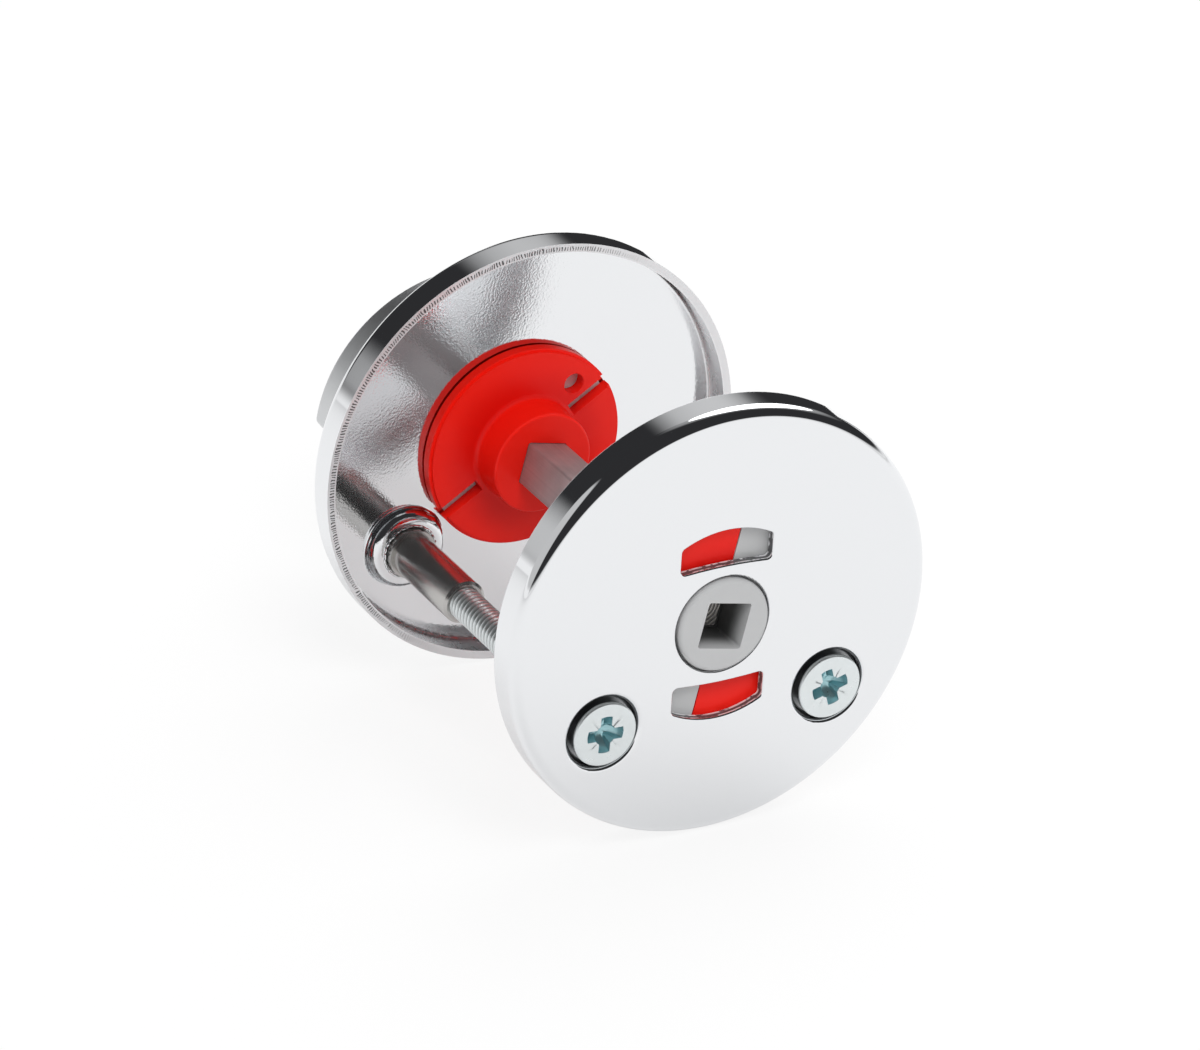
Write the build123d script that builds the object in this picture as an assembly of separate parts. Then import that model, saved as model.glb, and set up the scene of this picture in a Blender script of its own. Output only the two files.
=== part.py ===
"""Bathroom thumbturn for a 40 mm door: two pressed rosettes, a square spindle and a turning indicator.

Frame: the origin is on the spindle's axis in the plane where the outer rosette seats on the door.
+Y runs from the outside of the door to the inside, +Z is up and +X is right as seen from outside.
Angles are clockwise from straight up as seen from outside. All sizes are in millimetres.
"""
from build123d import *
import math
import os

# Door and pressed rosettes
DOOR_THICKNESS = 40.0
ROSETTE_RADIUS = 26.0
ROSETTE_HEIGHT = 4.3
SHEET = 1.0
ROSETTE_EDGE_ROUND = 1.4

# Fixing screws and their drawn dimples
SCREW_EDGE_DISTANCE = 8.3
SCREW_ANGLE_FROM_DOWN = 53.3
SCREW_RADIUS = 1.95
SCREW_HEAD_RADIUS = 3.85
SCREW_HEAD_RIM = 0.45
SCREW_HEAD_PROUD = 0.5
SCREW_HEAD_EDGE_ROUND = 0.2
SCREW_TIP_CHAMFER = 0.5
SCREW_HOLE_CLEARANCE = 0.25
SCREW_SEAT_WIDTH = 0.25
DIMPLE_HEAD_CLEARANCE = 0.45
DIMPLE_LIP_ROUND = 0.6
DIMPLE_FLOOR_ROUND = 0.4
DIMPLE_WALL = 0.55
DIMPLE_FLOOR_THICKNESS = 1.25
DIMPLE_SHOULDER_ROUND = 1.2
DIMPLE_ROOT_ROUND = 0.25
RECESS_WING_LENGTH = 2.25
RECESS_WING_WIDTH = 1.4
RECESS_DEPTH = 1.7
RECESS_TAPER = 8.0
RECESS_TURN_LEFT = 2.0
RECESS_TURN_RIGHT = -16.0

# Sleeve nuts that take the screws from the inside
SLEEVE_RADIUS = 2.6
SLEEVE_LENGTH = 16.0
SLEEVE_HEAD_SINK = 0.1
SLEEVE_COLLAR_STEP = 0.35
SLEEVE_COLLAR_PROUD = 0.9
SLEEVE_HOLE_CLEARANCE = 0.1
SLEEVE_MOUTH_CHAMFER = 0.3
SLEEVE_BORE_ROOM = 0.8
THREAD_CLEARANCE = 0.02
SCREW_ENGAGEMENT = 12.0
DRIVER_SLOT_WIDTH = 1.1
DRIVER_SLOT_DEPTH = 1.1

# Windows in the outer rosette
WINDOW_HALF_ANGLE = 29.43
WINDOW_HUB_MARGIN = 1.4
WINDOW_INNER_ARCH_RADIUS = 60.0
WINDOW_DISC_MARGIN = 0.6
WINDOW_CORNER_ROUND = 0.6
PUNCH_ROLL = 0.2

# Square spindle
REST_TURN = 12.0
SPINDLE_WIDTH = 5.0
SPINDLE_EDGE_BREAK = 0.3
SPINDLE_SOCKET_DEPTH = 5.4
SPINDLE_GRIP = 14.0
SQUARE_CLEARANCE = 0.05

# Grey indicator hub with two quarter wings and a neck on the spindle's end
HUB_RADIUS = 5.6
HUB_PROUD = 0.5
HUB_EDGE_ROUND = 0.5
HUB_HOLE_CLEARANCE = 0.25
RELEASE_SOCKET_WIDTH = 5.5
RELEASE_SOCKET_CORNER_ROUND = 0.3
HUB_NECK_RADIUS = 4.6
HUB_NECK_CLEARANCE = 0.1
WING_ANGLE = 90.0
WING_THICKNESS = 1.0
WING_EDGE_SETBACK = 0.3
WING_RIB_CLEARANCE = 0.1
WING_RIB_SHORTFALL = 0.3

# Red moulding, used behind the wings and again on the knob side
DISC_BOSS_GAP = 0.65
DISC_THICKNESS = 1.5
DISC_EDGE_STEP = 0.35
DISC_HUB_RADIUS = 6.15
DISC_HUB_HEIGHT = 4.3
DISC_HUB_ROOT_ROUND = 0.6
DISC_SLOT_WIDTH = 1.65
DISC_SLOT_ROOT_GAP = 0.65
DISC_SLOT_ANGLE = 45.0
DISC_PEG_HOLE_RADIUS = 1.25
DISC_PEG_HOLE_OFFSET_ANGLE = 17.0
PAD_SEAM_ANGLE = 0.8
PAD_HUB_CLEARANCE = 0.15

# Knob on the inside: a pointed oval grip that stands on a round collar
KNOB_GRIP_ANGLE = 45.0
KNOB_HEIGHT = 25.6
KNOB_HALF_LENGTH = 14.4
KNOB_HALF_THICKNESS = 7.0
KNOB_TIP_ROUND = 0.8
KNOB_DRAFT = 2.5
KNOB_FACE_ROUND = 0.7
KNOB_COLLAR_RADIUS = 10.0
KNOB_COLLAR_HEIGHT = 2.4
KNOB_COLLAR_ROUND = 0.8
KNOB_UNDERCUT_RISE = 4.0
KNOB_NECK_CLEARANCE = 0.25

# Running gaps between what turns and what stays, and how far a cut runs past a face
TURN_GAP = 0.2
KNOB_GAP = 0.4
CUT_MARGIN = 1.0

# Levels along the spindle's axis
OUTER_FACE = -ROSETTE_HEIGHT
OUTER_FLOOR = OUTER_FACE + SHEET
INNER_FACE = DOOR_THICKNESS + ROSETTE_HEIGHT
INNER_FLOOR = INNER_FACE - SHEET
HUB_FACE = OUTER_FACE - HUB_PROUD
WING_FRONT = OUTER_FLOOR + TURN_GAP
WING_BACK = WING_FRONT + WING_THICKNESS
SPINDLE_FRONT = HUB_FACE + SPINDLE_SOCKET_DEPTH
SCREW_HEAD_FACE = OUTER_FACE - SCREW_HEAD_PROUD
SLEEVE_HEAD_FACE = INNER_FACE - SLEEVE_HEAD_SINK
SLEEVE_MOUTH = SLEEVE_HEAD_FACE - SLEEVE_LENGTH
RETAINER_BACK = INNER_FLOOR - TURN_GAP
KNOB_BASE = INNER_FACE + KNOB_GAP
KNOB_FACE = KNOB_BASE + KNOB_HEIGHT
SPINDLE_BACK = RETAINER_BACK + SPINDLE_GRIP

# Radii that follow from the fits
HUB_HOLE_RADIUS = HUB_RADIUS + HUB_HOLE_CLEARANCE
KNOB_NECK_RADIUS = HUB_HOLE_RADIUS - KNOB_NECK_CLEARANCE
SCREW_PITCH_RADIUS = ROSETTE_RADIUS - SCREW_EDGE_DISTANCE
SCREW_HOLE_RADIUS = SCREW_RADIUS + SCREW_HOLE_CLEARANCE
SLEEVE_COLLAR_RADIUS = SLEEVE_RADIUS + SLEEVE_COLLAR_STEP
SLEEVE_HOLE_RADIUS = SLEEVE_COLLAR_RADIUS + SLEEVE_HOLE_CLEARANCE
SLEEVE_BORE_RADIUS = SCREW_RADIUS + THREAD_CLEARANCE
SCREW_SEAT_RADIUS = SCREW_HOLE_RADIUS + SCREW_SEAT_WIDTH
DIMPLE_DEPTH = SCREW_HEAD_RIM + SCREW_HEAD_RADIUS - SCREW_SEAT_RADIUS - SCREW_HEAD_PROUD
BOSS_DEPTH = DIMPLE_DEPTH + DIMPLE_FLOOR_THICKNESS
DIMPLE_RADIUS = SCREW_HEAD_RADIUS + DIMPLE_HEAD_CLEARANCE
BOSS_RADIUS = DIMPLE_RADIUS + DIMPLE_WALL
DISC_RADIUS = SCREW_PITCH_RADIUS - BOSS_RADIUS - DISC_BOSS_GAP
WINDOW_OUTER_RADIUS = DISC_RADIUS - WINDOW_DISC_MARGIN
WINDOW_HALF_WIDTH = WINDOW_OUTER_RADIUS * math.sin(math.radians(WINDOW_HALF_ANGLE))
WINDOW_INNER_HEIGHT = HUB_HOLE_RADIUS + WINDOW_HUB_MARGIN
WING_RADIUS = DISC_RADIUS - WING_EDGE_SETBACK
DISC_SLOT_ROOT = DISC_HUB_RADIUS + DISC_SLOT_ROOT_GAP
DISC_PEG_HOLE_PLACE = (DISC_HUB_RADIUS + DISC_RADIUS) / 2

EDGE_MATCH = 0.001
SPINDLE_AXIS = Axis((0, 0, 0), (0, 1, 0))
TURN_TO_REST = Rot(0, REST_TURN, 0)
SCREW_SIDES = {"left": -1, "right": 1}
RECESS_TURNS = {"left": RECESS_TURN_LEFT, "right": RECESS_TURN_RIGHT}


def on_plane(radius, angle):
    """Point (x, z) at a radius and a clockwise angle from straight up."""
    turn = math.radians(angle)
    return radius * math.sin(turn), radius * math.cos(turn)


def turned(outline, rounds):
    """Solid of revolution about the Y axis from closed (radius, y) corners and their rounds."""
    return revolve(make_face(FilletPolyline(*outline, radius=rounds, close=True)), SPINDLE_AXIS)


def prism(sketch, y_from, y_to):
    """Sketch seen from outside (x right, z up), carried along +Y from one level to another."""
    return extrude(Plane.XZ.offset(-y_to) * sketch, amount=y_to - y_from)


def square(width, corner_round):
    """Square sketch about the axis with its flats level and upright."""
    return RectangleRounded(width, width, corner_round)


def spindle_hole():
    """Square sketch that takes the spindle with clearance."""
    return square(SPINDLE_WIDTH + 2 * SQUARE_CLEARANCE, SPINDLE_EDGE_BREAK)


def screw_place(side):
    """Place of one screw's axis in the plane of the door."""
    x, z = on_plane(SCREW_PITCH_RADIUS, 180 - side * SCREW_ANGLE_FROM_DOWN)
    return Pos(x, 0, z)


def edges_at(part, radius, level, place):
    """Circular edges about a place's axis, picked by radius and level."""
    axis_point = Vector(place.position.X, level, place.position.Z)
    circles = part.edges().filter_by(GeomType.CIRCLE)
    sized = circles.filter_by(lambda edge: abs(edge.radius - radius) < EDGE_MATCH)
    return sized.filter_by(lambda edge: (edge.arc_center - axis_point).length < EDGE_MATCH)


def window():
    """Upper window: upright ends, an outer arc about the axis and a slightly arched inner edge."""
    half = WINDOW_HALF_WIDTH
    outer_end = math.sqrt(WINDOW_OUTER_RADIUS**2 - half**2)
    inner_end = WINDOW_INNER_HEIGHT - WINDOW_INNER_ARCH_RADIUS
    inner_end += math.sqrt(WINDOW_INNER_ARCH_RADIUS**2 - half**2)
    outline = [
        Line((-half, inner_end), (-half, outer_end)),
        ThreePointArc((-half, outer_end), (0, WINDOW_OUTER_RADIUS), (half, outer_end)),
        Line((half, outer_end), (half, inner_end)),
        ThreePointArc((half, inner_end), (0, WINDOW_INNER_HEIGHT), (-half, inner_end)),
    ]
    pane = make_face(outline)
    return fillet(pane.vertices(), min(WINDOW_CORNER_ROUND, (outer_end - inner_end) / 3))


def cup():
    """Pressed cup with its rim on the door plane and a centre hole."""
    inner_round = max(ROSETTE_EDGE_ROUND - SHEET, SHEET / 4)
    outline = [
        (HUB_HOLE_RADIUS, OUTER_FACE),
        (ROSETTE_RADIUS, OUTER_FACE),
        (ROSETTE_RADIUS, 0),
        (ROSETTE_RADIUS - SHEET, 0),
        (ROSETTE_RADIUS - SHEET, OUTER_FLOOR),
        (HUB_HOLE_RADIUS, OUTER_FLOOR),
    ]
    return turned(outline, [0, ROSETTE_EDGE_ROUND, 0, 0, inner_round, 0])


def dimpled(blank, floor_hole):
    """Draws the two screw dimples into a cup: a round-shouldered boss behind, a steep hollow in front.

    The floor's hole is a list of (radius, depth below the floor) corners, from the floor downwards.
    """
    above = OUTER_FACE - CUT_MARGIN
    boss_start = OUTER_FACE + SHEET / 2
    boss_end = OUTER_FACE + BOSS_DEPTH
    floor = OUTER_FACE + DIMPLE_DEPTH
    boss = turned(
        [(0, boss_start), (BOSS_RADIUS, boss_start), (BOSS_RADIUS, boss_end), (0, boss_end)],
        [0, 0, DIMPLE_SHOULDER_ROUND, 0],
    )
    hole = [(radius, floor + depth) for radius, depth in floor_hole]
    outline = [(0, above), (DIMPLE_RADIUS, above), (DIMPLE_RADIUS, floor), *hole, (0, hole[-1][1])]
    hollow = turned(outline, [0, 0, DIMPLE_FLOOR_ROUND] + [0] * (len(hole) + 1))
    shell = blank
    for side in SCREW_SIDES.values():
        shell = shell + screw_place(side) * boss
    for side in SCREW_SIDES.values():
        shell = shell - screw_place(side) * hollow
    for side in SCREW_SIDES.values():
        place = screw_place(side)
        shell = fillet(edges_at(shell, DIMPLE_RADIUS, OUTER_FACE, place), DIMPLE_LIP_ROUND)
        shell = fillet(edges_at(shell, BOSS_RADIUS, OUTER_FLOOR, place), DIMPLE_ROOT_ROUND)
    return shell


def outer_rosette():
    """Cup with two punched windows, dimpled for the screws with a 45 degree seat at each hole's edge."""
    screw_hole = [
        (SCREW_SEAT_RADIUS, 0), (SCREW_HOLE_RADIUS, SCREW_SEAT_WIDTH),
        (SCREW_HOLE_RADIUS, DIMPLE_FLOOR_THICKNESS + CUT_MARGIN),
    ]
    upper = prism(window(), OUTER_FACE - CUT_MARGIN, OUTER_FLOOR + CUT_MARGIN)
    punched = cup() - upper - upper.rotate(SPINDLE_AXIS, 180)
    face_edges = punched.edges().filter_by(lambda edge: abs(edge.center().Y - OUTER_FACE) < EDGE_MATCH)
    cut_edges = face_edges.filter_by(lambda edge: math.hypot(edge.center().X, edge.center().Z) < DISC_RADIUS)
    return dimpled(fillet(cut_edges, PUNCH_ROLL), screw_hole)


def inner_rosette():
    """The same cup turned to face the room, dimpled for the sleeve nuts."""
    sleeve_hole = [(SLEEVE_HOLE_RADIUS, 0), (SLEEVE_HOLE_RADIUS, DIMPLE_FLOOR_THICKNESS + CUT_MARGIN)]
    return Pos(0, DOOR_THICKNESS, 0) * Rot(0, 0, 180) * dimpled(cup(), sleeve_hole)


def red_moulding(bore):
    """Red disc in its own place: back at y = 0, bored hub towards -Y, slots on the 45 degree line."""
    face = -DISC_THICKNESS
    hub_end = face - DISC_HUB_HEIGHT
    step = DISC_RADIUS - DISC_EDGE_STEP
    outline = [
        (0, 0), (DISC_RADIUS, 0), (DISC_RADIUS, face + DISC_EDGE_STEP), (step, face + DISC_EDGE_STEP),
        (step, face), (DISC_HUB_RADIUS, face), (DISC_HUB_RADIUS, hub_end), (0, hub_end),
    ]
    disc = turned(outline, [0, 0, 0, 0, 0, DISC_HUB_ROOT_ROUND, DISC_HUB_ROOT_ROUND / 2, 0])
    disc -= prism(bore, hub_end - CUT_MARGIN, CUT_MARGIN)
    slot_length = DISC_RADIUS - DISC_SLOT_ROOT
    slot = Pos(0, DISC_SLOT_ROOT + slot_length) * Rectangle(DISC_SLOT_WIDTH, 2 * slot_length)
    for angle in (DISC_SLOT_ANGLE, DISC_SLOT_ANGLE + 180):
        disc -= prism(Rot(0, 0, -angle) * slot, face - CUT_MARGIN, CUT_MARGIN)
    peg_x, peg_z = on_plane(DISC_PEG_HOLE_PLACE, DISC_SLOT_ANGLE - DISC_PEG_HOLE_OFFSET_ANGLE)
    disc -= prism(Pos(peg_x, peg_z) * Circle(DISC_PEG_HOLE_RADIUS), face - CUT_MARGIN, CUT_MARGIN)
    return disc


def retaining_disc():
    """Red moulding against the inner rosette's floor, square-bored for the spindle."""
    return TURN_TO_REST * Pos(0, RETAINER_BACK, 0) * red_moulding(spindle_hole())


def sector(half_angle):
    """Sector of the indicator centred on straight up."""
    start = on_plane(WING_RADIUS, -half_angle)
    end = on_plane(WING_RADIUS, half_angle)
    return make_face([Line((0, 0), start), ThreePointArc(start, (0, WING_RADIUS), end), Line(end, (0, 0))])


def indicator_disc():
    """The same moulding turned over about its slots, round-bored for the hub's neck.

    Two raised pads fill the spaces between the grey wings, flush with them.
    """
    slot_x, slot_z = on_plane(1, DISC_SLOT_ANGLE)
    moulding = red_moulding(Circle(HUB_NECK_RADIUS + HUB_NECK_CLEARANCE))
    flipped = moulding.rotate(Axis((0, 0, 0), (slot_x, 0, slot_z)), 180)
    disc = Pos(0, WING_BACK, 0) * flipped
    pad = sector(90 - WING_ANGLE / 2 - PAD_SEAM_ANGLE) - Circle(HUB_RADIUS + PAD_HUB_CLEARANCE)
    raised = prism(pad, WING_FRONT, WING_BACK + DISC_THICKNESS / 2)
    for angle in (DISC_SLOT_ANGLE + 90, DISC_SLOT_ANGLE + 270):
        disc += raised.rotate(SPINDLE_AXIS, angle)
    return TURN_TO_REST * disc


def indicator_hub():
    """Grey hub with wings behind the windows, ribs in the disc's slots and a neck on the spindle's end."""
    neck_end = WING_BACK + DISC_THICKNESS + DISC_HUB_HEIGHT
    outline = [
        (0, HUB_FACE), (HUB_RADIUS, HUB_FACE), (HUB_RADIUS, WING_BACK), (HUB_NECK_RADIUS, WING_BACK),
        (HUB_NECK_RADIUS, neck_end), (0, neck_end),
    ]
    hub = turned(outline, [0, HUB_EDGE_ROUND, 0, 0, 0, 0])
    rib_width = DISC_SLOT_WIDTH - 2 * WING_RIB_CLEARANCE
    rib_root = DISC_SLOT_ROOT + WING_RIB_CLEARANCE
    rib_length = WING_RADIUS - WING_RIB_SHORTFALL - rib_root
    rib = Pos(0, rib_root + rib_length / 2) * Rectangle(rib_width, rib_length)
    rib_end = WING_BACK + DISC_THICKNESS - WING_RIB_SHORTFALL
    arm = prism(sector(WING_ANGLE / 2), WING_FRONT, WING_BACK) + prism(rib, WING_BACK - WING_THICKNESS / 2, rib_end)
    for angle in (DISC_SLOT_ANGLE, DISC_SLOT_ANGLE + 180):
        hub += arm.rotate(SPINDLE_AXIS, angle)
    socket = square(RELEASE_SOCKET_WIDTH, RELEASE_SOCKET_CORNER_ROUND)
    hub -= prism(socket, HUB_FACE - CUT_MARGIN, SPINDLE_FRONT)
    hub -= prism(spindle_hole(), SPINDLE_FRONT, neck_end + CUT_MARGIN)
    return TURN_TO_REST * hub


def spindle():
    """Square bar with broken edges from the indicator to the knob."""
    bar = square(SPINDLE_WIDTH, SPINDLE_EDGE_BREAK)
    return TURN_TO_REST * prism(bar, SPINDLE_FRONT, SPINDLE_BACK)


def pointed_oval(half_length, half_thickness):
    """Two equal arcs that meet in slightly rounded tips, length along z."""
    outline = [
        ThreePointArc((0, -half_length), (half_thickness, 0), (0, half_length)),
        ThreePointArc((0, half_length), (-half_thickness, 0), (0, -half_length)),
    ]
    oval = make_face(outline)
    return fillet(oval.vertices(), KNOB_TIP_ROUND)


def thumbturn_knob():
    """Cast grip with drafted sides on a round collar, a neck through the inner rosette and a square socket."""
    collar_top = KNOB_BASE + KNOB_COLLAR_HEIGHT
    grip_root = collar_top - KNOB_COLLAR_ROUND
    flare = (KNOB_FACE - grip_root) * math.tan(math.radians(KNOB_DRAFT))
    root = pointed_oval(KNOB_HALF_LENGTH + flare, KNOB_HALF_THICKNESS + flare)
    face = pointed_oval(KNOB_HALF_LENGTH, KNOB_HALF_THICKNESS)
    grip = loft([Plane.XZ.offset(-grip_root) * root, Plane.XZ.offset(-KNOB_FACE) * face])
    reach = KNOB_HALF_LENGTH + 2 * flare
    undercut_start = KNOB_COLLAR_RADIUS - KNOB_COLLAR_ROUND
    undercut_top = grip_root + KNOB_UNDERCUT_RISE
    undercut = turned([(undercut_start, grip_root), (reach, grip_root), (reach, undercut_top)], 0)
    grip = fillet(grip.faces().sort_by(Axis.Y)[-1].edges(), KNOB_FACE_ROUND) - undercut
    collar = turned(
        [(0, KNOB_BASE), (KNOB_COLLAR_RADIUS, KNOB_BASE), (KNOB_COLLAR_RADIUS, collar_top), (0, collar_top)],
        [0, KNOB_COLLAR_ROUND / 2, KNOB_COLLAR_ROUND, 0],
    )
    neck = prism(Circle(KNOB_NECK_RADIUS), RETAINER_BACK, KNOB_BASE + KNOB_COLLAR_HEIGHT / 2)
    socket = prism(spindle_hole(), RETAINER_BACK - CUT_MARGIN, SPINDLE_BACK)
    knob = (grip + collar + neck).rotate(SPINDLE_AXIS, KNOB_GRIP_ANGLE) - socket
    return TURN_TO_REST * knob


def cross_recess():
    """Tapered cross recess sunk into a screw head."""
    arm = Rectangle(2 * RECESS_WING_LENGTH, RECESS_WING_WIDTH)
    cross = arm + Rot(0, 0, 90) * arm
    return extrude(Plane.XZ.offset(-SCREW_HEAD_FACE) * cross, amount=-RECESS_DEPTH, taper=RECESS_TAPER)


def fixing_screw(name):
    """Countersunk machine screw from the outer rosette into its sleeve nut."""
    rim = SCREW_HEAD_FACE + SCREW_HEAD_RIM
    neck = rim + SCREW_HEAD_RADIUS - SCREW_RADIUS
    tip = SLEEVE_MOUTH + SCREW_ENGAGEMENT
    outline = [
        (0, SCREW_HEAD_FACE), (SCREW_HEAD_RADIUS, SCREW_HEAD_FACE), (SCREW_HEAD_RADIUS, rim),
        (SCREW_RADIUS, neck), (SCREW_RADIUS, tip - SCREW_TIP_CHAMFER),
        (SCREW_RADIUS - SCREW_TIP_CHAMFER, tip), (0, tip),
    ]
    screw = turned(outline, [0, SCREW_HEAD_EDGE_ROUND, 0, 0, 0, 0, 0])
    screw -= cross_recess().rotate(SPINDLE_AXIS, RECESS_TURNS[name])
    return screw_place(SCREW_SIDES[name]) * screw


def sleeve_nut(name):
    """Sleeve nut whose flat head sits on the inner rosette's dimple floor, open towards the screw."""
    underside = INNER_FACE - DIMPLE_DEPTH
    collar_end = INNER_FACE - BOSS_DEPTH - SLEEVE_COLLAR_PROUD
    bore_end = SLEEVE_MOUTH + SCREW_ENGAGEMENT + SLEEVE_BORE_ROOM
    outline = [
        (0, SLEEVE_HEAD_FACE), (SCREW_HEAD_RADIUS, SLEEVE_HEAD_FACE),
        (SCREW_HEAD_RADIUS - DIMPLE_FLOOR_ROUND, underside), (SLEEVE_COLLAR_RADIUS, underside),
        (SLEEVE_COLLAR_RADIUS, collar_end), (SLEEVE_RADIUS, collar_end),
        (SLEEVE_RADIUS, SLEEVE_MOUTH + SLEEVE_MOUTH_CHAMFER),
        (SLEEVE_RADIUS - SLEEVE_MOUTH_CHAMFER, SLEEVE_MOUTH),
        (SLEEVE_BORE_RADIUS, SLEEVE_MOUTH), (SLEEVE_BORE_RADIUS, bore_end), (0, bore_end),
    ]
    slot_floor = SLEEVE_HEAD_FACE - DRIVER_SLOT_DEPTH
    slot = prism(Rectangle(2 * SCREW_HEAD_RADIUS, DRIVER_SLOT_WIDTH), slot_floor, SLEEVE_HEAD_FACE)
    return screw_place(SCREW_SIDES[name]) * (turned(outline, 0) - slot)


def main():
    """Builds every piece and writes one file for each."""
    pieces = {
        "outer_rosette": outer_rosette(),
        "inner_rosette": inner_rosette(),
        "indicator_hub": indicator_hub(),
        "indicator_disc": indicator_disc(),
        "retaining_disc": retaining_disc(),
        "spindle": spindle(),
        "thumbturn_knob": thumbturn_knob(),
    }
    for name in SCREW_SIDES:
        pieces["fixing_screw_" + name] = fixing_screw(name)
        pieces["sleeve_nut_" + name] = sleeve_nut(name)
    os.makedirs("parts", exist_ok=True)
    for name, piece in pieces.items():
        export_step(piece, "parts/" + name + ".step")


if __name__ == "__main__":
    main()
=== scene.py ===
"""Bathroom thumbturn: chrome, plastic and steel finishes, threaded screws, torn edges and a plain studio.

Lengths are in metres in the part's own frame: +Y runs along the spindle from the outside of the door to
the inside, +Z is up and +X is right as seen from outside. Angles about the spindle are clockwise from
straight up as seen from outside.
"""
import math
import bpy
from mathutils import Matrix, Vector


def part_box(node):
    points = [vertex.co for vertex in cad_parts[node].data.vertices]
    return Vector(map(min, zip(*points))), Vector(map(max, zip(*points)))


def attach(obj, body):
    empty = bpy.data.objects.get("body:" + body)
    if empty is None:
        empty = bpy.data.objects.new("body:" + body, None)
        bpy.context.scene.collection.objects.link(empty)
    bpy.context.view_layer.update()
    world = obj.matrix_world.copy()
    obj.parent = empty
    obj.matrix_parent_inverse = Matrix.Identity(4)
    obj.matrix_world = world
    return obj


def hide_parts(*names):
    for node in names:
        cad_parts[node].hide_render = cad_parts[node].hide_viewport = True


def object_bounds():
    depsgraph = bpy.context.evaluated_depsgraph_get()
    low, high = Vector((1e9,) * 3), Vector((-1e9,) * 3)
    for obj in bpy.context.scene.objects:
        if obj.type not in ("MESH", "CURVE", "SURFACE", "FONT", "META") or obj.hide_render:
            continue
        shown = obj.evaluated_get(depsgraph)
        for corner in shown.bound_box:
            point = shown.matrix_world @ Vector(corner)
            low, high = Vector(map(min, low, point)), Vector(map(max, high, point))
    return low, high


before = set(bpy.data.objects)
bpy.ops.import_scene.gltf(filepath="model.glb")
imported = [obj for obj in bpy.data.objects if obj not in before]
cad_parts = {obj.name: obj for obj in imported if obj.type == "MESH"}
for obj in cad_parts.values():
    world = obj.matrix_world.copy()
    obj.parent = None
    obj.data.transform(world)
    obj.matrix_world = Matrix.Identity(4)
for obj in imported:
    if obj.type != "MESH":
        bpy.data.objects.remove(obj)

from types import SimpleNamespace

import bpy
import numpy as np
from mathutils import Matrix, Vector

bl_info = {
    "name": "Bathroom thumbturn",
    "version": (1, 0, 0),
    "blender": (4, 5, 0),
    "location": "3D View > Sidebar > Thumbturn",
    "description": "Finishes and fine parts of a bathroom thumbturn with an indicator",
    "category": "Object",
}

MM = 0.001
FULL_TURN = 2 * math.pi
WHITE = (1.0, 1.0, 1.0)
CAD_BOX = [list(corner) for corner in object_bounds()]
SIDES = ("left", "right")

# Levels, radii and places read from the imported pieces
OUTER_LOW, OUTER_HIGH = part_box("outer_rosette")
INNER_LOW, INNER_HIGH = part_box("inner_rosette")
SPINDLE_LOW, SPINDLE_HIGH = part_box("spindle")
HUB_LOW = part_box("indicator_hub")[0]
SCREW_LOW, SCREW_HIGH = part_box("fixing_screw_right")
ROSETTE_RADIUS = (OUTER_HIGH[0] - OUTER_LOW[0]) / 2
OUTER_FACE = OUTER_LOW[1]
OUTER_RIM = OUTER_HIGH[1]
INNER_FACE = INNER_HIGH[1]
INNER_RIM = INNER_LOW[1]
ROSETTE_HEIGHT = OUTER_RIM - OUTER_FACE
SCREW_PLACE = ((SCREW_LOW[0] + SCREW_HIGH[0]) / 2, (SCREW_LOW[2] + SCREW_HIGH[2]) / 2)
FLOOR_LEVEL = CAD_BOX[0][2]
DOOR_MIDDLE = Vector((0, (OUTER_RIM + INNER_RIM) / 2, 0))

# How far a place may lie off a level or a wall and still count as on it
TOLERANCE = 0.05 * MM

# The ticked side of a sheared rim, the cosines between which the ticks set in, the number of ticks that
# would go all round the rim, and how far patches of noise shift them, in radians of their wave
TICKED_SIDE = (-0.866, 0.0, 0.5)
TICKED_FADE = (-0.1, 0.4)
RIM_TICKS = 470
TICK_SHIFT = 18

# The side of a rosette whose inner corner is polished less, and the cosines between which that sets in
WORN_SIDE = (0.6, 0.0, -0.8)
WORN_FADE = (-0.2, 0.2)

# Shares of the sheet from the face: the dull wall of a punched edge and the fades of its bright lines
PUNCHED_WALL = (0.16, 0.985)
FACE_LINE_FADE = (0.22, 0.4)
FLOOR_LINE_FADE = (0.66, 0.8)

# Levels of noise between which a punched edge's bright lines, scuffs on plastic and scale on steel set in
LINE_PATCHES = (0.44, 0.54)
SCUFF_PATCHES = (0.62, 0.78)
SCALE_PATCHES = (0.3, 0.8)

# Painted shade on the red mouldings round the foot of their hubs: distances from the spindle where it sets
# in and fades out, strength
HUB_FOOT = (6.0 * MM, 6.4 * MM)
HUB_FADE = (6.6 * MM, 11.5 * MM)
HUB_SHADE = 0.6

# Painted shade in the release socket of the grey hub: reach from the spindle, depths between which it
# darkens, strength
SOCKET_REACH = 4.0 * MM
SOCKET_FADE = (0.1 * MM, 3.4 * MM)
SOCKET_SHADE = 0.88

# Wings of the cross recess, shares of the way from its mouth to the end of a screw's flat face at which
# the face has rings, and the share that the ticks stay within
WINGS = 4
FACE_SHARES = (0.06, 0.3, 0.5, 0.62, 0.7, 0.85, 1.0)
TICKED_SHARE = 0.65

# Thread profile: steepness of its flanks, and how much its broad crests cut off them
THREAD_STEEPNESS = 1.7
THREAD_CREST = 0.6

# Torn edge: waves round it, their effect on its height and on its radius, and the middle of its section
# in halves of its width from the hole
TORN_WAVES = (5, 9, 14, 23, 31, 44)
TORN_HEIGHT = 0.55
TORN_SHIFT = 0.22
TORN_MIDDLE = 1.15

# Fineness of the added meshes
RECESS_ARC = 4
RECESS_SIDE = 7
HEAD_ARC = 5
THREAD_ROWS = 9
COLLAR_STEPS = 168
COLLAR_SECTION = 9
DOME_STEPS = 48
DOME_RINGS = 13

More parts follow.
